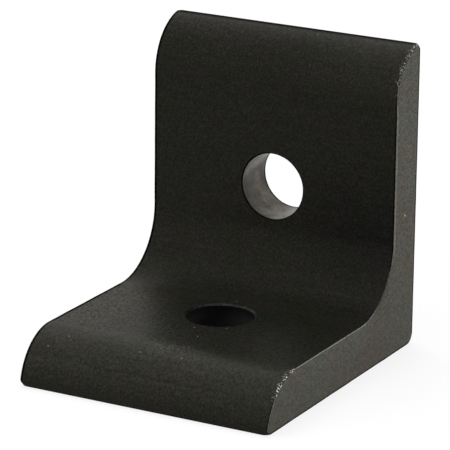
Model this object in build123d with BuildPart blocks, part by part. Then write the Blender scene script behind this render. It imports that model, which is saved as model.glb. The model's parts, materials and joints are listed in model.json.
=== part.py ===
from build123d import *
from math import acos, degrees, sqrt
import os

# Corner bracket for T-slot framing: a short length of one extruded L section, drilled once in each leg.
# Millimetres. The base leg lies on z = 0 and runs towards -Y, the upright stands at the back with its outer
# face towards +Y, and the extrusion runs along X. The origin is the middle of the base leg's underside.

# The section. Both legs are alike: each tip turns over in an arc wider than the leg is thick, so it leans
# on the outer face and meets it in a small rounding.
leg_length = 38.1
thickness = 6.2
inner_fillet = 8.2
heel_rounding = 1.4
tip_arc = 6.8
tip_rounding = 0.4

# The length cut from the extrusion, and the break on its sawn edges
width = 33.34
edge_break = 0.1

# The holes: one in each leg, on the bracket's middle, the same distance from the heel
hole_diameter = 8.33
hole_setback = 19.05
rim_break = 0.15

# Where the outer faces and the inner faces meet, in the plane of the section
back = leg_length / 2
heel_corner = (back, 0)
inner_corner = (back - thickness, thickness)

# The tip's arc starts where it ends, after its turn, in the small rounding that just reaches the leg's length
between_centres = tip_arc - tip_rounding
across_centres = max(tip_arc + tip_rounding - thickness, 0)
tip_start = leg_length - tip_rounding - sqrt(between_centres**2 - across_centres**2)
tip_turn = degrees(acos(1 - thickness / tip_arc))

with BuildPart() as corner_bracket:
    with BuildSketch(Plane.YZ) as section:
        # The upright's half of the outline, and the same for the base leg, mirrored about the diagonal
        with BuildLine():
            inner_face = Line(inner_corner, (back - thickness, tip_start))
            tip = JernArc(inner_face @ 1, (0, 1), tip_arc, -tip_turn)
            Line(tip @ 1, heel_corner)
            mirror(about=Plane(heel_corner, z_dir=(1, 1, 0)))
        make_face()
        fillet(section.vertices().sort_by_distance(inner_corner)[0], inner_fillet)
        fillet(section.vertices().sort_by_distance(heel_corner)[0], heel_rounding)
        fillet(section.vertices().sort_by_distance(heel_corner)[-2:], tip_rounding)
    extrude(amount=width / 2, both=True)
    chamfer(corner_bracket.faces().filter_by(Axis.X).edges(), edge_break)

    # Plain through holes, with both rims broken
    base_seat = Plane((0, back - hole_setback, 0), z_dir=(0, 0, 1))
    upright_seat = Plane((0, back, hole_setback), z_dir=(0, 1, 0))
    for seat in (base_seat, upright_seat):
        with Locations(seat):
            Hole(hole_diameter / 2)
        chamfer(corner_bracket.edges(Select.LAST).filter_by(GeomType.CIRCLE), rim_break)

corner_bracket.part.label = "corner_bracket"
os.makedirs("parts", exist_ok=True)
export_step(corner_bracket.part, "parts/corner_bracket.step")
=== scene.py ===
"""Dresses the corner bracket: its finish, its worked edges, the white studio round it and the camera.

Metres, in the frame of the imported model: the base leg lies on z = 0 and runs towards -Y, the upright
stands at the back, and the extrusion runs along X. The near end, whose sawn face is in view, is at +X.
"""
import json
import math

import bpy
import numpy as np
from mathutils import Matrix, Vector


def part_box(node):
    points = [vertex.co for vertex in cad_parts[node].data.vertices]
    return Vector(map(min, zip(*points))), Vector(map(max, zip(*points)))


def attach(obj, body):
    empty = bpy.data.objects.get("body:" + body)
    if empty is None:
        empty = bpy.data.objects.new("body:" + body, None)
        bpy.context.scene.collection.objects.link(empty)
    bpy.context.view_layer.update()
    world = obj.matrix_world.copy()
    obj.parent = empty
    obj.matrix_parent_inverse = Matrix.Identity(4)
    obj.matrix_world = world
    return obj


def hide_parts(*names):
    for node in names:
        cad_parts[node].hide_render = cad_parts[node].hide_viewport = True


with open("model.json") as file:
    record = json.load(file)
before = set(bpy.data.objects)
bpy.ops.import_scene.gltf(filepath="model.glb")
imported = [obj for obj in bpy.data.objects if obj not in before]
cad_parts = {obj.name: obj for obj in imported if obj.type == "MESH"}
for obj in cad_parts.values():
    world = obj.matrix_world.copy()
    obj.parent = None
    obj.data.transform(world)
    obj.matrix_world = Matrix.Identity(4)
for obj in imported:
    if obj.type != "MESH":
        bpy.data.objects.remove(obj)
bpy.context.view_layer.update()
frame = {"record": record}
MM = 0.001
NODE = "corner_bracket"

# The bracket's sizes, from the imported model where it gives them
LOW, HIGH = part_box(NODE)
MOUNTS = {mount["name"]: mount for mount in frame["record"]["mounts"]}
LEG = HIGH[2] - LOW[2]
WIDTH = HIGH[0] - LOW[0]
BACK = HIGH[1]
THICKNESS = 2 * MOUNTS["base_bore"]["pos_m"][2]
SETBACK = MOUNTS["upright_bore"]["pos_m"][2]
BORE = MOUNTS["base_bore"]["dims"]["r_mm"] * MM
INNER_FILLET = 8.2 * MM
HEEL_ROUNDING = 1.4 * MM
TIP_ARC = 6.8 * MM
TIP_ROUNDING = 0.4 * MM

# The piece's ends along X, and the Y of the base leg's tip
NEAR_END = WIDTH / 2
FAR_END = -WIDTH / 2
FRONT = BACK - LEG

# The tip's arc ends, after its turn in degrees, in the small rounding that just reaches the leg's length
BETWEEN_CENTRES = TIP_ARC - TIP_ROUNDING
ACROSS_CENTRES = TIP_ARC + TIP_ROUNDING - THICKNESS
TIP_TURN = math.degrees(math.acos(ACROSS_CENTRES / BETWEEN_CENTRES))

# As a reach from the heel: where the fillet ends on a leg's inner face, where the square that is kept for
# its hole ends, and where its tip starts to turn over
FILLET_END = THICKNESS + INNER_FILLET
SQUARE_END = 2 * SETBACK - FILLET_END
TIP_START = LEG - TIP_ROUNDING - math.sqrt(BETWEEN_CENTRES**2 - ACROSS_CENTRES**2)

# How finely the surfaces are divided, how strongly a collar's rings crowd towards its rim, and the angle in
# degrees from which an edge shows sharp
FILLET_STEPS = 28
HEEL_STEPS = FILLET_STEPS // 4
HOLE_STEPS = 40
FLANK_STEPS = 28
TIP_STEPS = 64
ROUNDING_STEPS = TIP_STEPS // 4
SIDE_STEPS = 16
COLLAR_STEPS = 4
COLLAR_CROWDING = 1.5
WALL_STEPS = 12
ACROSS_STEPS = 8
EDGE_STEPS = 4
SHARP_ANGLE = 24

# The broken edges of the sawn ends: how far they reach on average and at least, how ragged they are, in
# which steps they wander slowly and finely, and how much they bulge
EDGE_BREAK = 0.09 * MM
LEAST_BREAK = 0.03 * MM
EDGE_RAGGED = 0.03 * MM
SLOW_STEP = 1.6 * MM
FINE_STEP = 0.25 * MM
EDGE_BULGE = 0.17

# The burr on the near edge round the tips: how far it reaches, where it starts and ends on each leg as a
# distance from the tip, and in which steps it is chipped and nicked
BURR = 0.26 * MM
BURR_ZONES = {"base": (4.0 * MM, 9.8 * MM), "upright": (-1.0 * MM, 7.2 * MM)}
BURR_FADE = 1.0 * MM
CHIP_STEP = 0.2 * MM
NICK_STEP = 0.26 * MM

# The black skin that laps round the upright's near edge: how far, and between which heights. From a lap of
# LEAST_LAP the edge there is black too, over BLACK_SHARE of its width.
WRAP = 0.55 * MM
WRAP_ZONE = (FILLET_END - 4 * MM, LEG - TIP_ARC + 2 * MM)
WRAP_FADE = 3 * MM
LEAST_LAP = 0.2
BLACK_SHARE = 0.6

# The worn corners at the legs' tips: their size, and the depth and the roundness of the wear
CORNER_WEAR = {"base": 1.0 * MM, "upright": 0.9 * MM}
WEAR_DEPTH = 0.29
WEAR_ROUNDNESS = 1.7

# The rims of the holes: how far each is broken, and the waves round it that make it ragged
RIM_BREAKS = {"base": 0.22 * MM, "upright": 0.15 * MM}
RIM_RAGGED = 0.02 * MM
RIM_WAVES = (2, 3, 5, 9, 14, 23)

# The finishes, in the order in which the bracket carries their materials
SKIN, SAWN, DRILLED, BROKEN, RIM, BURRED, DARK = range(7)
rng = np.random.default_rng(7)


# The section, in rows of depth from the outer face, reach from the heel, and the outward normal along both

def arc(centre, radius, start, end, steps, outward=1):
    """Points along an arc, without its first, from one angle in degrees to another."""
    points = []
    for i in range(1, steps + 1):
        t = math.radians(start + (end - start) * i / steps)
        c, s = math.cos(t), math.sin(t)
        points.append((centre[0] + radius * c, centre[1] + radius * s, outward * c, outward * s))
    return points


def run(depth, start, end, steps, outward):
    """Points along a leg's flat face, without its first."""
    return [(depth, start + (end - start) * i / steps, outward, 0.0) for i in range(1, steps + 1)]


def half_outlines():
    """A leg's inner and outer faces, from the corner's diagonal to the tip's highest point."""
    diagonal = math.sqrt(0.5)
    inner = [(FILLET_END - INNER_FILLET * diagonal,) * 2 + (diagonal,) * 2]
    inner += arc((FILLET_END,) * 2, INNER_FILLET, 225, 180, FILLET_STEPS, outward=-1)
    inner += run(THICKNESS, FILLET_END, SQUARE_END, HOLE_STEPS, 1.0)
    inner += run(THICKNESS, SQUARE_END, TIP_START, FLANK_STEPS, 1.0)
    inner += arc((THICKNESS - TIP_ARC, TIP_START), TIP_ARC, 0, TIP_TURN, TIP_STEPS - ROUNDING_STEPS)
    inner += arc((TIP_ROUNDING, LEG - TIP_ROUNDING), TIP_ROUNDING, TIP_TURN, 90, ROUNDING_STEPS)

    outer = [(HEEL_ROUNDING * (1 - diagonal),) * 2 + (-diagonal,) * 2]
    outer += arc((HEEL_ROUNDING,) * 2, HEEL_ROUNDING, 225, 180, HEEL_STEPS)
    outer += run(0.0, HEEL_ROUNDING, FILLET_END, FILLET_STEPS - HEEL_STEPS, -1.0)
    outer += run(0.0, FILLET_END, SQUARE_END, HOLE_STEPS, -1.0)
    outer += run(0.0, SQUARE_END, TIP_START, FLANK_STEPS, -1.0)
    outer += run(0.0, TIP_START, LEG - TIP_ROUNDING, TIP_STEPS - 2 * ROUNDING_STEPS, -1.0)
    outer += arc((TIP_ROUNDING, LEG - TIP_ROUNDING), TIP_ROUNDING, 180, 90, 2 * ROUNDING_STEPS)
    return inner, outer


def place(leg, depth, reach):
    """The Y and Z of a point of a leg, from its depth under the outer face and its reach from the heel."""
    return (BACK - reach, depth) if leg == "base" else (BACK - depth, reach)


def whole_outline(half):
    """A face from the base leg's tip through the corner to the upright's: rows of Y, Z and normal."""
    rows = [place("base", a, b) + (-nb, na) for a, b, na, nb in reversed(half[1:])]
    rows += [place("upright", a, b) + (-na, nb) for a, b, na, nb in half]
    return np.array(rows)


def on_inner_face(leg, x, reach):
    """The point of a leg's inner face at that X and that reach from the heel, out to its tip."""
    past = max(reach - TIP_START, 0)
    return (x,) + place(leg, THICKNESS - TIP_ARC + math.sqrt(TIP_ARC**2 - past**2), reach)


def arclength(outline):
    """How far along an outline each of its points lies."""
    return np.concatenate([[0], np.cumsum(np.hypot(*np.diff(outline[:, :2], axis=0).T))])


# The worked edges

def wander(s, step):
    """A random value at each place along a line, wandering in steps of about that length."""
    knots = rng.normal(0.0, 1.0, int(s[-1] / step) + 2)
    return np.interp(s, np.arange(len(knots)) * step, knots)


def within(s, zone, fade):
    """1 inside a zone of a line, falling to 0 at its ends."""
    return np.clip(np.minimum(s - zone[0], zone[1] - s) / fade, 0, 1)


def burred(outline):
    """1 along each tip's arc where the saw left a burr, fading to 0 before and after."""
    s = arclength(outline)
    on_base = within(s, BURR_ZONES["base"], BURR_FADE)
    on_upright = within(s[-1] - s, BURR_ZONES["upright"], BURR_FADE)
    return np.maximum(on_base, on_upright)


def wrapped(outline):
    """1 up the upright's straight face, where the black skin laps round the edge, fading to 0 past it."""
    on_upright = outline[:, 0] > 0
    return within(outline[:, 1], WRAP_ZONE, WRAP_FADE) * on_upright


def edge_breaks(outline, near_inner=False):
    """How far the break reaches along X and into the section, at each point of an outline."""
    s = arclength(outline)
    slow = wander(s, SLOW_STEP)
    fine = wander(s, FINE_STEP)
    reach = EDGE_BREAK + 0.5 * EDGE_RAGGED * (slow + fine)
    inset = EDGE_BREAK + 0.4 * EDGE_RAGGED * (slow - fine)
    if near_inner:
        chips = 0.7 + 0.5 * np.clip(wander(s, CHIP_STEP), -1, 1)
        nicks = 0.4 * np.clip(wander(s, NICK_STEP), 0, 1.2)
        reach += BURR * chips * burred(outline)
        inset += BURR * nicks * burred(outline) + WRAP * wrapped(outline)
    return np.clip(reach, LEAST_BREAK, None), np.clip(inset, LEAST_BREAK, None)


def edge_finishes(inner, side, t):
    """The finish at each point of the inner edge's break, in the strip that ends at t of the way across."""
    black = (wrapped(inner) > LEAST_LAP) | (arclength(inner) < BURR_ZONES["base"][0])
    finish = np.where(burred(inner) > 0, BURRED, BROKEN)
    return list(np.where((black & (t < BLACK_SHARE)) | (side < 0), DARK, finish))


def wear_corners(points):
    """Rounds off the four corners of the piece at its legs' tips."""
    x, y, z = points.T
    sideways = np.outer(-np.sign(x), (1, 0, 0))
    moved = points.copy()
    for leg, from_tip, depth, inward in (
        ("base", y - FRONT, z, (0, 1, 1)),
        ("upright", LEG - z, BACK - y, (0, -1, -1)),
    ):
        size = CORNER_WEAR[leg]
        near_corner = np.clip(1 - (NEAR_END - np.abs(x) + from_tip + depth) / size, 0, None)
        push = WEAR_DEPTH * size * near_corner**WEAR_ROUNDNESS
        moved += push[:, None] * (sideways + inward)
    return moved


# The shell

class Shell:
    """Points and faces under way, each face with the number of its finish."""

    def __init__(self):
        self.points = []
        self.faces = []
        self.finishes = []

    def add(self, points):
        """Adds points, and returns their numbers."""
        first = len(self.points)
        self.points.extend(tuple(p) for p in points)
        return list(range(first, len(self.points)))

    def strip(self, a, b, finish, closed=False):
        """Quads between two rows of points, in one finish or in one for each quad."""
        for i in range(len(a) if closed else len(a) - 1):
            j = (i + 1) % len(a)
            self.faces.append((a[i], a[j], b[j], b[i]))
            self.finishes.append(int(finish[i]) if isinstance(finish, list) else finish)

    def fan(self, tip, row, finish):
        """Triangles from one point to a row of them."""
        for a, b in zip(row[:-1], row[1:]):
            self.faces.append((tip, a, b))
            self.finishes.append(finish)


def columns(far_break, near_break):
    """The X of each point of a row between its broken edges: even over the hole, closer towards the ends."""
    half_square = SETBACK - FILLET_END
    share = 1 - np.linspace(1, 0, SIDE_STEPS + 1)**2
    far = half_square + (NEAR_END - far_break - half_square) * share
    near = half_square + (NEAR_END - near_break - half_square) * share
    middle = np.linspace(-half_square, half_square, HOLE_STEPS + 1)
    return np.concatenate([-far[::-1][:-1], middle, near[1:]])


def skin(shell, outline, breaks, made):
    """One face of the extrusion: rows across X, open where the holes are. Returns the rows.

    made holds the rows, by number, that another face has made already and this one shares.
    """
    first, last = SIDE_STEPS, SIDE_STEPS + HOLE_STEPS
    corner = len(outline) // 2
    past_fillet = [abs(i - corner) - FILLET_STEPS for i in range(len(outline))]
    rows = []
    for i, (y, z, _, _) in enumerate(outline):
        if i in made:
            rows.append(made[i])
            continue
        along = columns(breaks[0][i], breaks[1][i])
        left = shell.add((x, y, z) for x in along[:first + 1])
        middle = [None] * (HOLE_STEPS - 1)
        if not 0 < past_fillet[i] < HOLE_STEPS:
            middle = shell.add((x, y, z) for x in along[first + 1:last])
        right = shell.add((x, y, z) for x in along[last:])
        rows.append(left + middle + right)
    for a, b, *steps in zip(rows, rows[1:], past_fillet, past_fillet[1:]):
        if min(steps) >= 0 and max(steps) <= HOLE_STEPS:
            shell.strip(a[:first + 1], b[:first + 1], SKIN)
            shell.strip(a[last:], b[last:], SKIN)
        else:
            shell.strip(a, b, SKIN)
    return rows


def hole_border(rows, start):
    """The points round a hole's square opening in a face, whose rows begin at start."""
    first, last = SIDE_STEPS, SIDE_STEPS + HOLE_STEPS
    block = rows[start:start + HOLE_STEPS + 1]
    border = block[0][first:last]
    border += [row[last] for row in block[:-1]]
    border += block[-1][last:first:-1]
    border += [row[first] for row in block[:0:-1]]
    return border


def rim_noise(angle):
    """A few random waves round a hole's rim."""
    total = np.zeros_like(angle)
    for waves in RIM_WAVES:
        total += rng.normal(0, 1 / math.sqrt(waves)) * np.cos(waves * angle + rng.uniform(0, 2 * math.pi))
    return total


def drill(shell, leg, inner_border, outer_border):
    """A hole through a leg: a collar on each face, the broken rims and the wall between them."""
    x, y, z = np.array(shell.points)[inner_border].T
    up = (BACK - y if leg == "base" else z) - SETBACK
    angle = np.arctan2(up, x)
    to_border = np.hypot(x, up)

    def ring(radius, depth):
        """Points round the hole's axis, with a radius and a depth for each."""
        radius = np.broadcast_to(radius, angle.shape)
        depth = np.broadcast_to(depth, angle.shape)
        circle = zip(radius * np.cos(angle), depth, SETBACK + radius * np.sin(angle))
        return shell.add((x,) + place(leg, d, reach) for x, d, reach in circle)

    def collar(border, depth, outward):
        """From a face's square opening over its rim to the wall. Returns its last row and the rim."""
        rim = RIM_BREAKS[leg] + RIM_RAGGED * rim_noise(angle)
        rows = [border]
        for i in range(1, COLLAR_STEPS + 1):
            t = 1 - (1 - i / COLLAR_STEPS)**COLLAR_CROWDING
            rows.append(ring(to_border + (BORE + rim - to_border) * t, depth))
        for t in (0.5, 1.0):
            rows.append(ring(BORE + rim * (1 - t), depth - outward * rim * t))
        finishes = [SKIN] * COLLAR_STEPS + [RIM] * 2
        for a, b, finish in zip(rows[:-1], rows[1:], finishes):
            shell.strip(a, b, finish, closed=True)
        return rows[-1], rim

    top, top_rim = collar(inner_border, THICKNESS, 1)
    foot, foot_rim = collar(outer_border, 0.0, -1)
    rows = [top]
    for i in range(1, WALL_STEPS):
        t = i / WALL_STEPS
        rows.append(ring(BORE, (THICKNESS - top_rim) * (1 - t) + foot_rim * t))
    rows.append(foot)
    for a, b in zip(rows[:-1], rows[1:]):
        shell.strip(a, b, DRILLED, closed=True)


def edge_points(shell, side, face, t):
    """One face's points on the broken edge at an end, t of the way from the skin to the sawn face."""
    outline, rows, (reach, inset) = face
    if t == 0:
        return [row[0 if side < 0 else -1] for row in rows]
    bulge = EDGE_BULGE * math.sin(math.pi * t)
    x = side * (NEAR_END - reach * (1 - t - bulge))
    push = inset * (t - bulge)
    y = outline[:, 0] - push * outline[:, 2]
    z = outline[:, 1] - push * outline[:, 3]
    return shell.add(zip(x, y, z))


def end_face(shell, side, inner, outer):
    """The end at -X or +X, with its broken edge. Each face is its outline, its rows and its breaks there."""
    outline, rows, (reach, inset) = outer
    between_tips = slice(1, -1)
    outer = (outline[between_tips], rows[between_tips], (reach[between_tips], inset[between_tips]))
    before = None
    for i in range(EDGE_STEPS + 1):
        t = i / EDGE_STEPS
        a = edge_points(shell, side, inner, t)
        b = edge_points(shell, side, outer, t)
        loop = a + b[::-1]
        if before:
            finishes = edge_finishes(inner[0], side, t) + [DARK] * len(b)
            shell.strip(before, loop, finishes, closed=True)
        before = loop
    sawn(shell, a, b)


def sawn(shell, inner_edge, outer_edge):
    """A sawn face: quads from its inner edge across to its outer one, and a fan of triangles at each tip."""
    points = np.array(shell.points)
    cross = []
    for i, j in zip(inner_edge[1:-1], outer_edge):
        p, q = points[i], points[j]
        between = shell.add(p + (q - p) * k / ACROSS_STEPS for k in range(1, ACROSS_STEPS))
        cross.append([i] + between + [j])
    for a, b in zip(cross[:-1], cross[1:]):
        shell.strip(a, b, SAWN)
    shell.fan(inner_edge[0], cross[0], SAWN)
    shell.fan(inner_edge[-1], cross[-1], SAWN)


def bracket_shell():
    """The whole bracket's points and faces."""
    shell = Shell()
    inner, outer = (whole_outline(half) for half in half_outlines())
    inner_far, inner_near = edge_breaks(inner), edge_breaks(inner, near_inner=True)
    outer_far, outer_near = edge_breaks(outer), edge_breaks(outer)
    last = len(inner) - 1
    inner_rows = skin(shell, inner, (inner_far[0], inner_near[0]), {})
    tips = {0: inner_rows[0], last: inner_rows[last]}
    outer_rows = skin(shell, outer, (outer_far[0], outer_near[0]), tips)
    end_face(shell, -1, (inner, inner_rows, inner_far), (outer, outer_rows, outer_far))
    end_face(shell, 1, (inner, inner_rows, inner_near), (outer, outer_rows, outer_near))

    corner = last // 2
    starts = {"base": corner - FILLET_STEPS - HOLE_STEPS, "upright": corner + FILLET_STEPS}
    for leg, start in starts.items():
        drill(shell, leg, hole_border(inner_rows, start), hole_border(outer_rows, start))
    return shell


def in_scene(name, data):
    """An object of that data, put in the scene."""
    item = bpy.data.objects.new(name, data)
    bpy.context.scene.collection.objects.link(item)
    return item


def build_bracket():
    """The whole bracket as one closed mesh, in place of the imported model's."""
    shell = bracket_shell()
    mesh = bpy.data.meshes.new("bracket")
    mesh.from_pydata(wear_corners(np.array(shell.points, dtype=float)).tolist(), [], shell.faces)
    mesh.polygons.foreach_set("material_index", shell.finishes)
    mesh.polygons.foreach_set("use_smooth", [True] * len(shell.faces))
    mesh.update()
    bracket = in_scene("bracket", mesh)
    bpy.context.view_layer.objects.active = bracket
    bpy.ops.object.mode_set(mode="EDIT")
    bpy.ops.mesh.select_all(action="SELECT")
    bpy.ops.mesh.normals_make_consistent(inside=False)
    bpy.ops.object.mode_set(mode="OBJECT")
    mesh.set_sharp_from_angle(angle=math.radians(SHARP_ANGLE))
    return bracket


# Node trees

class Nodes:
    """A node tree under way, with short calls for its nodes and links."""

    def __init__(self, tree):
        self.tree = tree

    def add(self, kind, **settings):
        """A new node, with its properties and inputs set."""
        node = self.tree.nodes.new(kind)
        for key, value in settings.items():
            if hasattr(node, key):
                setattr(node, key, value)
            else:
                node.inputs[key].default_value = value
        return node

    def put(self, value, socket):
        """Links a node's output to an input, or sets the input to a number or a colour."""
        if isinstance(value, bpy.types.NodeSocket):
            self.tree.links.new(value, socket)
        elif isinstance(value, tuple):
            socket.default_value = value + (1.0,)
        else:
            socket.default_value = value

    def math(self, operation, *values):
        """The result of that operation on numbers or nodes' outputs."""
        node = self.add("ShaderNodeMath", operation=operation)
        for value, socket in zip(values, node.inputs):
            self.put(value, socket)
        return node.outputs[0]

    def times(self, first, *others):
        """The product of two values or more."""
        for other in others:
            first = self.math("MULTIPLY", first, other)
        return first

    def larger(self, a, b):
        """The larger of two values."""
        return self.math("MAXIMUM", a, b)

    def ramp(self, value, low, high, to_low=0.0, to_high=1.0):
        """Maps a value from one range to another, kept within it."""
        node = self.add("ShaderNodeMapRange")
        for key, end in zip(("From Min", "From Max", "To Min", "To Max"), (low, high, to_low, to_high)):
            node.inputs[key].default_value = end
        self.put(value, node.inputs["Value"])
        return node.outputs["Result"]

    def where(self, mask, inside, outside=1.0):
        """One number where a mask is 1, another where it is 0."""
        return self.ramp(mask, 0, 1, outside, inside)

    def looked_at(self):
        """1 for a ray from the camera, off a shiny surface or through a clear one, 0 for matt light."""
        path = self.add("ShaderNodeLightPath").outputs
        shiny = self.larger(path["Is Camera Ray"], path["Is Glossy Ray"])
        return self.larger(shiny, path["Is Transmission Ray"])


class Finish(Nodes):
    """A material under way, whose patterns lie in the bracket's own frame, in metres."""

    def __init__(self, name):
        self.material = bpy.data.materials.new(name)
        self.material.use_nodes = True
        super().__init__(self.material.node_tree)
        self.shader = self.tree.nodes["Principled BSDF"]
        self.here = self.add("ShaderNodeTexCoord").outputs["Object"]
        split = self.add("ShaderNodeSeparateXYZ")
        self.put(self.here, split.inputs[0])
        self.axes = split.outputs

    def shade(self, **inputs):
        """Puts values into the shader's inputs, whose names are written with underscores."""
        for name, value in inputs.items():
            self.put(value, self.shader.inputs[name.replace("_", " ")])

    def noise(self, size, stretch=(1, 1, 1), detail=2.0, roughness=0.5):
        """Noise with features of about that size, drawn out by stretch along each axis."""
        scale = self.add("ShaderNodeMapping")
        scale.inputs["Scale"].default_value = [1 / (size * s) for s in stretch]
        self.put(self.here, scale.inputs["Vector"])
        noise = self.add("ShaderNodeTexNoise", Scale=1.0, Detail=detail, Roughness=roughness)
        self.put(scale.outputs["Vector"], noise.inputs["Vector"])
        return noise.outputs["Fac"]

    def along(self, axis, start, end, at_start=0.0, at_end=1.0):
        """A ramp along an axis of the bracket, from one place on it to another."""
        return self.ramp(self.axes[axis], start, end, at_start, at_end)

    def blend(self, factor, a, b):
        """A mix of two colours, each a value or a node's output."""
        node = self.add("ShaderNodeMix", data_type="RGBA")
        self.put(factor, node.inputs[0])
        self.put(a, node.inputs[6])
        self.put(b, node.inputs[7])
        return node.outputs[2]

    def scale(self, colour, factor):
        """A colour times a value."""
        node = self.add("ShaderNodeVectorMath", operation="SCALE")
        self.put(colour, node.inputs["Vector"])
        self.put(factor, node.inputs["Scale"])
        return node.outputs["Vector"]

    def spots(self, places, radius):
        """1 within a few small spots, and 0 elsewhere."""
        total = None
        for spot in places:
            node = self.add("ShaderNodeVectorMath", operation="DISTANCE")
            self.put(self.here, node.inputs[0])
            node.inputs[1].default_value = spot
            inside = self.ramp(node.outputs["Value"], radius, 0.5 * radius)
            total = inside if total is None else self.larger(total, inside)
        return total

    def bump(self, height, depth, after=None):
        """Relief of that depth in metres, on top of another bump."""
        node = self.add("ShaderNodeBump", Strength=1.0, Distance=depth)
        self.put(height, node.inputs["Height"])
        if after is not None:
            self.put(after, node.inputs["Normal"])
        return node.outputs["Normal"]


# The black finish

# The Y where the base leg's tip starts to turn over, and the one where its flat top meets the fillet
FRONT_ARC = BACK - TIP_START
FLAT_BACK = BACK - FILLET_END

# The pale specks on the skin, as leg, X and reach from the heel in millimetres, and the one on the near sawn
# face, at a depth and a height on the upright
SPECKS_MM = [("base", -0.7, 13.7), ("base", 3.0, 23.0), ("base", 1.4, 27.2), ("base", -0.5, 24.6),
             ("base", -14.2, 35.6), ("base", -12.4, 33.8), ("base", 3.0, 33.8), ("base", -2.5, 34.1),
             ("upright", 3.6, 37.8)]
SPECKS = [on_inner_face(leg, x * MM, reach * MM) for leg, x, reach in SPECKS_MM]
SPECK_RADIUS = 0.15 * MM
CUT_SPECK = (NEAR_END,) + place("upright", 3.08 * MM, 17.16 * MM)
CUT_SPECK_RADIUS = 0.16 * MM

# The die line across the front of the base leg's tip: its height, half its width, and how far it wavers
DIE_LINE_HEIGHT = 3.7 * MM
DIE_LINE_HALF = 0.07 * MM
DIE_LINE_WAVER = 0.35 * MM


def base_top(m):
    """1 on the base leg's flat top, fading to 0 where its tip and the fillet begin."""
    front = m.along("Y", FRONT_ARC - 0.5 * MM, FRONT_ARC + 1.5 * MM)
    back = m.along("Y", FLAT_BACK + 0.5 * MM, FLAT_BACK - 2 * MM)
    return m.times(front, back, m.along("Z", THICKNESS - 1.0 * MM, THICKNESS - 0.3 * MM))


def painted_sheen_left(m, flat):
    """1 at the far end of the base leg's flat top, where a paler, browner grained colour is painted on as a
    painted sheen, in place of part of its bright grazing reflection.
    """
    return m.times(flat, m.along("X", -6 * MM, -12.5 * MM))


def painted_light_front(m):
    """1 over the front of the base leg's tip, fading to 0 at its foot and where it turns over: where its
    colour is painted paler, as painted light.
    """
    return m.times(m.along("Y", FRONT_ARC, FRONT_ARC - 2.0 * MM), m.along("Z", 0.6 * MM, 3.4 * MM))


def painted_light_tip(m):
    """1 over the upright's tip towards the near end, where its colour and sheen are raised as painted light.
    """
    return m.times(m.along("Z", LEG - 7.1 * MM, LEG - 4.1 * MM), m.along("X", 2 * MM, 11 * MM))


def painted_shade_low(m):
    """1 low on the upright's inner face towards the near end, where its colour is painted darker and bluer
    as painted shade.
    """
    height = m.times(m.along("Z", 8 * MM, 11 * MM), m.along("Z", 26 * MM, 18 * MM))
    inner = m.along("Y", BACK - 0.5 * MM, BACK - 1.5 * MM)
    return m.times(m.along("X", 3 * MM, 9 * MM), height, inner)


def darkened_edges_and_foot_shade(m, flat):
    """1 over the skin, falling at its edges: a dark outline along the far end and the upright's top, a
    little darker by the near end, and painted shade along the base tip's foot where it meets the floor.
    """
    far_edge = m.along("X", FAR_END + 0.40 * MM, FAR_END + 0.26 * MM, 1.0, 0.1)
    flat_edge = m.along("X", FAR_END + 0.54 * MM, FAR_END + 0.38 * MM, 1.0, 0.1)
    flat_edge = m.larger(flat_edge, m.ramp(flat, 0.2, 0.6, 1.0, 0.0))
    near_edge = m.along("X", NEAR_END - 0.3 * MM, NEAR_END - 0.15 * MM, 1.0, 0.8)
    behind_tip = m.along("Y", FRONT + 0.35 * MM, FRONT + 0.5 * MM)
    foot = m.larger(behind_tip, m.along("Z", 0.12 * MM, 0.32 * MM))
    top = m.along("Z", LEG - 0.18 * MM, LEG - 0.06 * MM, 1.0, 0.1)
    return m.times(far_edge, flat_edge, near_edge, foot, top)


def torn_specks(m):
    """1 at the fine bright specks on the skin beside the burred edges, and 0 elsewhere."""
    base_tip = m.along("Y", FRONT + 7.05 * MM, FRONT + 5.55 * MM)
    tips = m.larger(base_tip, m.along("Z", LEG - 6.1 * MM, LEG - 4.1 * MM))
    high = m.along("Z", THICKNESS - 2.6 * MM, THICKNESS - 1.8 * MM)
    above_foot = m.larger(high, m.along("Y", 0.0, 1 * MM))
    near = m.along("X", NEAR_END - 0.7 * MM, NEAR_END - 0.3 * MM)
    inner = m.along("Y", BACK - 0.1 * MM, BACK - 0.3 * MM)
    return m.times(m.ramp(m.noise(0.24 * MM, detail=1), 0.59, 0.64), tips, above_foot, near, inner)


def scuffs(m):
    """1 at the fine pale scuffs on the base leg where its tip begins to turn over, and 0 elsewhere."""
    behind = m.along("Y", FRONT + 8.55 * MM, FRONT + 6.55 * MM)
    before = m.along("Y", FRONT + 3.85 * MM, FRONT + 5.05 * MM)
    middle = m.times(m.along("X", -3.5 * MM, -1.0 * MM), m.along("X", 6.5 * MM, 2.5 * MM))
    on_top = m.along("Z", THICKNESS - 1.5 * MM, THICKNESS - 0.8 * MM)
    return m.times(m.ramp(m.noise(0.24 * MM, detail=1), 0.58, 0.64), behind, before, middle, on_top)


def die_line(m):
    """1 along the one fine scratch that runs across the front of the base leg's tip, and 0 elsewhere."""
    waver = m.ramp(m.noise(3 * MM, detail=2), 0.2, 0.8, -DIE_LINE_WAVER, DIE_LINE_WAVER)
    height = m.math("ADD", m.axes["Z"], waver)
    line = m.math("COMPARE", height, DIE_LINE_HEIGHT, DIE_LINE_HALF)
    across = m.times(m.along("X", -10 * MM, -8 * MM), m.along("X", 12 * MM, 10 * MM))
    return m.times(line, across, m.along("Y", FRONT + 4.05 * MM, FRONT + 3.55 * MM))


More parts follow.
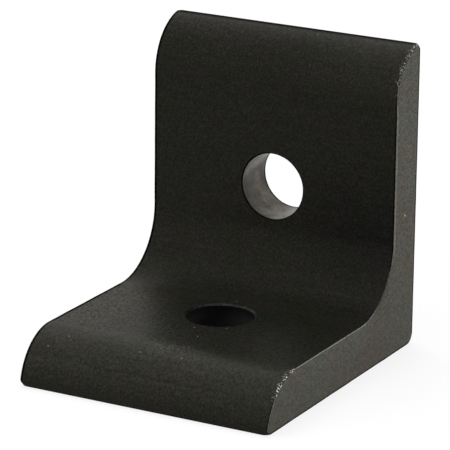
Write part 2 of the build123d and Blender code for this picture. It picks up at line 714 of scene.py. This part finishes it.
def film_colour(m, grain, left_grain, masks):
    """The black finish's colour, in linear light like all colours here: grained, with painted light and
    shade in places, and with specks.
    """
    greener, browner = (0.0126, 0.0140, 0.0098), (0.0148, 0.0136, 0.0112)
    sheen_dark, sheen_pale = (0.014, 0.013, 0.010), (0.046, 0.041, 0.030)
    shade_blue_black = (0.004, 0.004, 0.007)
    scuff, speck, bare = (0.075, 0.075, 0.068), (0.13, 0.13, 0.12), (0.28, 0.28, 0.25)
    colour = m.blend(m.ramp(m.noise(4.5 * MM, detail=2), 0.4, 0.6), greener, browner)
    streaks = m.noise(0.5 * MM, stretch=(14, 1, 1), detail=2)
    colour = m.scale(colour, m.ramp(grain, 0.25, 0.75, 0.5, 1.5))
    colour = m.scale(colour, m.ramp(streaks, 0.3, 0.7, 0.88, 1.12))
    # Painted light: the front of the base leg's tip painted nearly twice as pale
    colour = m.scale(colour, m.where(painted_light_front(m), 1.9))
    # Painted shade: the base leg's flat top darkened, with its sheen lowered in film_sheen
    colour = m.scale(colour, m.where(masks["flat"], 0.78))
    # Painted sheen: the far end of the base's flat top painted paler and browner
    colour = m.blend(masks["left"], colour, m.blend(m.ramp(left_grain, 0.3, 0.7), sheen_dark, sheen_pale))
    # Painted light: the upright's tip towards the near end painted paler
    colour = m.scale(colour, m.where(masks["tip"], 1.3))
    # Painted shade: low on the upright towards the near end, blended towards blue-black
    colour = m.blend(m.where(masks["low"], 0.3, outside=0.0), colour, shade_blue_black)
    # Darker towards the edges, with painted shade at the base tip's foot, and darker along the die line
    colour = m.scale(colour, m.times(masks["lit"], m.where(die_line(m), 0.7)))
    colour = m.blend(scuffs(m), colour, scuff)
    colour = m.blend(m.spots(SPECKS, SPECK_RADIUS), colour, speck)
    return m.blend(torn_specks(m), colour, bare)


def film_sheen(m, grain, left_grain, masks):
    """How strongly the black finish reflects: broken up by its grain, most of all at the far end of the
    base's flat top, where a painted sheen in the colour takes part of the reflection's place.
    """
    left = m.larger(m.where(masks["left"], 0.0), m.ramp(left_grain, 0.35, 0.65, 0.2, 1.0))
    flat = m.larger(m.where(masks["flat"], 0.0), m.ramp(grain, 0.35, 0.65, 0.5, 1.3))
    # Painted light and shade in the sheen as well: lower on the flat top and low on the upright, higher on
    # the upright's tip
    places = m.times(m.where(masks["flat"], 0.9), m.where(masks["tip"], 1.15), m.where(masks["low"], 0.85))
    return m.times(m.ramp(grain, 0.3, 0.7, 0.065, 0.125), masks["lit"], left, flat, places)


def film_relief(m, grain):
    """The black finish's relief: die lines along the extrusion, the grain, and a coarser pebbling."""
    lines = m.noise(0.25 * MM, stretch=(120, 1, 1), detail=3, roughness=0.6)
    pebbles = m.noise(0.55 * MM, stretch=(1, 2, 1), detail=2)
    normal = m.bump(lines, 0.006 * MM)
    normal = m.bump(grain, 0.016 * MM, after=normal)
    return m.bump(pebbles, 0.035 * MM, after=normal)


def black_anodise():
    """Satin black anodising over the extruded surface: die lines, fine grain, specks, and places of painted
    light and shade.
    """
    m = Finish("black_anodise")
    grain = m.noise(0.25 * MM, stretch=(1, 2, 1), detail=3, roughness=0.6)
    left_grain = m.noise(0.17 * MM, stretch=(1, 1.5, 1), detail=2)
    flat = base_top(m)
    masks = {"flat": flat, "left": painted_sheen_left(m, flat), "tip": painted_light_tip(m), "low": painted_shade_low(m),
             "lit": darkened_edges_and_foot_shade(m, flat)}
    m.shade(
        Base_Color=film_colour(m, grain, left_grain, masks),
        Roughness=m.ramp(grain, 0.3, 0.7, 0.35, 0.45),
        Specular_IOR_Level=film_sheen(m, grain, left_grain, masks),
        Specular_Tint=(1.0, 0.98, 0.8),
        Normal=film_relief(m, grain),
    )
    return m.material


# The other finishes

def sawn_face():
    """The sawn end: a dull grey-brown anodised face, mottled, with fine saw marks."""
    m = Finish("sawn_face")
    browner, greyer = (0.080, 0.071, 0.054), (0.076, 0.078, 0.063)
    speck = (0.7, 0.7, 0.68)
    cloud = m.noise(3.5 * MM, stretch=(1, 1.5, 1), detail=2)
    mottle = m.noise(0.8 * MM, stretch=(1, 2, 1), detail=3, roughness=0.6)
    grain = m.noise(0.21 * MM, stretch=(1, 1.6, 1), detail=2, roughness=0.6)
    marks = m.noise(0.12 * MM, stretch=(1, 30, 1), detail=2)
    high = m.along("Z", THICKNESS - 3.2 * MM, THICKNESS - 0.6 * MM)
    under_edge = m.times(high, m.along("Y", 9 * MM, 4 * MM))
    inside = m.times(m.along("Y", BACK - 0.2 * MM, BACK - 0.55 * MM), m.along("Z", 0.12 * MM, 0.36 * MM))

    colour = m.blend(m.ramp(cloud, 0.4, 0.6), browner, greyer)
    colour = m.scale(colour, m.ramp(mottle, 0.25, 0.75, 0.88, 1.12))
    colour = m.scale(colour, m.ramp(grain, 0.3, 0.7, 0.25, 1.75))
    # Painted shade: the sawn face darker towards the bottom, a touch paler high up
    colour = m.scale(colour, m.along("Z", 2 * MM, 24 * MM, 0.80, 1.08))
    colour = m.scale(colour, m.where(under_edge, 1.2))
    colour = m.blend(m.spots([CUT_SPECK], CUT_SPECK_RADIUS), colour, speck)
    m.shade(
        Base_Color=m.scale(colour, m.where(inside, 1.0, outside=0.1)),
        Roughness=m.ramp(grain, 0.3, 0.7, 0.55, 0.68),
        Specular_IOR_Level=m.where(inside, 0.2, outside=0.0),
        Normal=m.bump(grain, 0.012 * MM, after=m.bump(marks, 0.008 * MM)),
    )
    return m.material


# Where the upright's hole wall has its palest patches painted on, as painted highlights
PAINTED_WALL_HIGHLIGHTS = [(-3.6 * MM,) + place("upright", 2.85 * MM, SETBACK - 2.45 * MM),
                (1.6 * MM,) + place("upright", 3.65 * MM, SETBACK - 3.85 * MM)]
PAINTED_HIGHLIGHT_RADIUS = 2.0 * MM


def drilled_wall():
    """The drilled wall: black anodised too, but smoother, so it mirrors the studio in soft patches. Its pale
    colour is partly a painted reflection, with painted highlights and painted shade on it.
    """
    m = Finish("drilled_wall")
    browner, greyer = (0.062, 0.050, 0.033), (0.110, 0.096, 0.075)
    base_high, base_deep = (0.025, 0.025, 0.025), (0.11, 0.11, 0.11)
    cloud = m.noise(1.7 * MM, detail=3)
    in_upright = m.along("Z", THICKNESS, THICKNESS + 2 * MM)
    # Painted shade: the wall darkened at the upright's back rim, and to 0.4 all through the base leg's hole
    back_rim = m.along("Y", BACK - 0.6 * MM, BACK - 0.35 * MM, 1.0, 0.1)
    painted_shade_wall = m.times(back_rim, m.where(in_upright, 1.0, outside=0.4))

    colour = m.blend(m.ramp(cloud, 0.35, 0.65), browner, greyer)
    colour = m.scale(colour, m.ramp(m.noise(0.35 * MM, detail=2), 0.3, 0.7, 0.7, 1.3))
    # Painted shade: paler towards the front rim and darker towards the back rim
    colour = m.scale(colour, m.along("Y", BACK - 3.8 * MM, BACK - 0.9 * MM, 1.16, 0.7))
    in_base = m.blend(m.along("Z", THICKNESS - 0.6 * MM, THICKNESS - 2.6 * MM), base_high, base_deep)
    colour = m.blend(in_upright, in_base, colour)
    # Painted highlights: two paler patches on the upright's hole wall
    colour = m.scale(colour, m.where(m.spots(PAINTED_WALL_HIGHLIGHTS, PAINTED_HIGHLIGHT_RADIUS), 1.7))
    sheen = m.times(m.ramp(cloud, 0.35, 0.65, 0.20, 0.36), m.where(in_upright, 1.0, outside=0.03))
    m.shade(
        Base_Color=m.scale(colour, painted_shade_wall),
        Roughness=m.ramp(cloud, 0.35, 0.65, 0.40, 0.28),
        Specular_IOR_Level=m.times(sheen, painted_shade_wall),
        Specular_Tint=(1.0, 0.95, 0.85),
        Normal=m.bump(m.noise(0.2 * MM, detail=2), 0.006 * MM),
    )
    return m.material


def broken_edge():
    """The filed edges of the sawn ends: thin finish, brighter than the sawn face except over the fillet."""
    m = Finish("broken_edge")
    darker, paler = (0.13, 0.125, 0.11), (0.29, 0.28, 0.25)
    over_base = m.along("Z", THICKNESS + 0.2 * MM, THICKNESS + 1.5 * MM, 1.0, 0.3)
    over_fillet = m.along("Z", THICKNESS + 2 * MM, FILLET_END, 0.3, 0.7)
    pale = m.larger(over_base, over_fillet)
    colour = m.blend(m.ramp(m.noise(0.3 * MM, detail=2), 0.35, 0.65), darker, paler)
    m.shade(
        Base_Color=m.scale(colour, pale),
        Roughness=0.45,
        Specular_IOR_Level=m.ramp(pale, 0.3, 1.0, 0.0, 0.3),
    )
    return m.material


def hole_rim():
    """The rims that the drill left: black, with a gleam on the base leg's and none on the upright's."""
    m = Finish("hole_rim")
    black, dark_grey = (0.004, 0.004, 0.003), (0.014, 0.0135, 0.012)
    grain = m.noise(0.25 * MM, detail=2)
    on_base = m.along("Z", THICKNESS + 1 * MM, THICKNESS + 2 * MM, 0.32, 0.02)
    gleam = m.times(on_base, m.along("X", 0.5 * MM, 3.5 * MM, 1.0, 0.45), m.ramp(grain, 0.4, 0.6, 0.4, 1.0))
    m.shade(
        Base_Color=m.blend(m.ramp(grain, 0.4, 0.7), black, dark_grey),
        Roughness=0.35,
        Specular_IOR_Level=gleam,
    )
    return m.material


def burred_edge():
    """The near edge over the tips, where the saw tore the edge: black with flecks of bare metal."""
    m = Finish("burred_edge")
    black, bare = (0.004, 0.004, 0.003), (0.85, 0.85, 0.78)
    flecks = m.ramp(m.noise(0.21 * MM, detail=1), 0.54, 0.59)
    bright = m.ramp(m.noise(0.8 * MM, detail=1), 0.4, 0.6, 0.4, 1.0)
    fewer_above = m.along("Z", 8 * MM, 20 * MM, 1.0, 0.5)
    m.shade(
        Base_Color=m.blend(m.times(flecks, bright, fewer_above), black, bare),
        Roughness=0.4,
        Specular_IOR_Level=0.4,
    )
    return m.material


def dark_edge():
    """Black edges that reflect nothing: a dark outline round the far end, along the outer edges and where
    the skin laps round the near edge, and painted shade where they stand on the floor.
    """
    m = Finish("dark_edge")
    m.shade(Base_Color=(0.005, 0.005, 0.004), Roughness=0.5, Specular_IOR_Level=0.0)
    return m.material


# The studio

# The level at which the surroundings light a matt surface, and each lamp's azimuth and elevation in degrees,
# its distance and size in metres, and its own level
WORLD_LEVEL = 0.11
LAMPS = {
    "back_lamp": (-150, 60, 1.2, 0.9, 0.72),
    "top_lamp": (-30, 80, 1.2, 0.9, 0.23),
    "left_lamp": (-50, 16, 1.2, 0.9, 0.56),
    "side_lamp": (105, 3, 1.4, 0.8, 0.86),
}

# The floor: half its side in metres, its colour, and the light that it adds where the camera sees it
FLOOR_HALF = 4.0
FLOOR_COLOUR = 0.2
FLOOR_GLOW = 0.82


def direction(azimuth, elevation):
    """The way from the bracket to an azimuth, which is 0 in front of it, and an elevation, in degrees."""
    a, e = math.radians(azimuth), math.radians(elevation)
    return np.array([math.sin(a) * math.cos(e), -math.cos(a) * math.cos(e), math.sin(e)])


def white_surroundings():
    """A world that is white to the eye and in reflections, and lights matt surfaces at WORLD_LEVEL."""
    world = bpy.data.worlds.new("surroundings")
    bpy.context.scene.world = world
    world.use_nodes = True
    m = Nodes(world.node_tree)
    background = m.tree.nodes["Background"].inputs
    m.put((1.0, 1.0, 1.0), background["Color"])
    m.put(m.where(m.looked_at(), 1.0, outside=WORLD_LEVEL), background["Strength"])


def outside_footprint(m):
    """1 on the open floor and 0 under the bracket, where no light gets to it."""
    under = 1 * MM
    beyond_x = m.math("GREATER_THAN", m.math("ABSOLUTE", m.axes["X"]), WIDTH / 2 - under)
    beyond_y = m.math("GREATER_THAN", m.math("ABSOLUTE", m.axes["Y"]), LEG / 2 - under)
    return m.larger(beyond_x, beyond_y)


def floor():
    """A white floor, partly lit from within for the camera so that only a soft shadow shows."""
    mesh = bpy.data.meshes.new("floor")
    corners = [(FLOOR_HALF * x, FLOOR_HALF * y, 0) for x, y in ((-1, -1), (1, -1), (1, 1), (-1, 1))]
    mesh.from_pydata(corners, [], [(0, 1, 2, 3)])
    plane = in_scene("floor", mesh)
    m = Finish("floor")
    m.shade(
        Base_Color=(FLOOR_COLOUR,) * 3,
        Roughness=0.9,
        Specular_IOR_Level=0.0,
        Emission_Color=(1.0, 1.0, 1.0),
        Emission_Strength=m.times(m.looked_at(), FLOOR_GLOW, outside_footprint(m)),
    )
    mesh.materials.append(m.material)


def area_lamp(name, azimuth, elevation, distance, size, level):
    """A square soft lamp aimed at the bracket: a matt surface facing it shows level times its colour."""
    data = bpy.data.lights.new(name, "AREA")
    data.shape = "SQUARE"
    data.size = size
    data.energy = level * math.pi**2 * distance**2
    lamp = in_scene(name, data)
    lamp.location = direction(azimuth, elevation) * distance + np.array([0, 0, LEG / 2])
    lamp.rotation_euler = (math.radians(90 - elevation), 0, math.radians(azimuth))
    lamp.visible_glossy = False


# The camera's place, fitted to the photograph: its direction from the bracket in degrees, how far off it
# stands and the point that it looks at in the middle of the picture, with its lens and sensor in millimetres
CAMERA_AZIMUTH = 28.58
CAMERA_ELEVATION = 17.43
CAMERA_ROLL = 0.63
CAMERA_DISTANCE = 395.9 * MM
CAMERA_AIM = (0.571 * MM, -0.164 * MM, 17.724 * MM)
CAMERA_LENS = 264.86
CAMERA_SENSOR = 36.0


def camera():
    """The camera at the photograph's angle."""
    data = bpy.data.cameras.new("camera")
    data.lens = CAMERA_LENS
    data.sensor_width = CAMERA_SENSOR
    data.clip_start = 0.01
    data.clip_end = 50.0
    eye = in_scene("camera", data)
    azimuth, roll = math.radians(CAMERA_AZIMUTH), math.radians(CAMERA_ROLL)
    away = direction(CAMERA_AZIMUTH, CAMERA_ELEVATION)
    level = np.array([math.cos(azimuth), math.sin(azimuth), 0.0])
    right = math.cos(roll) * level + math.sin(roll) * np.cross(away, level)
    matrix = np.eye(4)
    matrix[:3, 0] = right
    matrix[:3, 1] = np.cross(away, right)
    matrix[:3, 2] = away
    matrix[:3, 3] = np.array(CAMERA_AIM) + CAMERA_DISTANCE * away
    eye.matrix_world = Matrix(matrix.tolist())
    bpy.context.scene.camera = eye


bracket = build_bracket()
for finish in (black_anodise, sawn_face, drilled_wall, broken_edge, hole_rim, burred_edge, dark_edge):
    bracket.data.materials.append(finish())
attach(bracket, "root")
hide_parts(NODE)

white_surroundings()
floor()
for name, settings in LAMPS.items():
    area_lamp(name, *settings)
camera()
bpy.context.scene.view_settings.view_transform = "Standard"
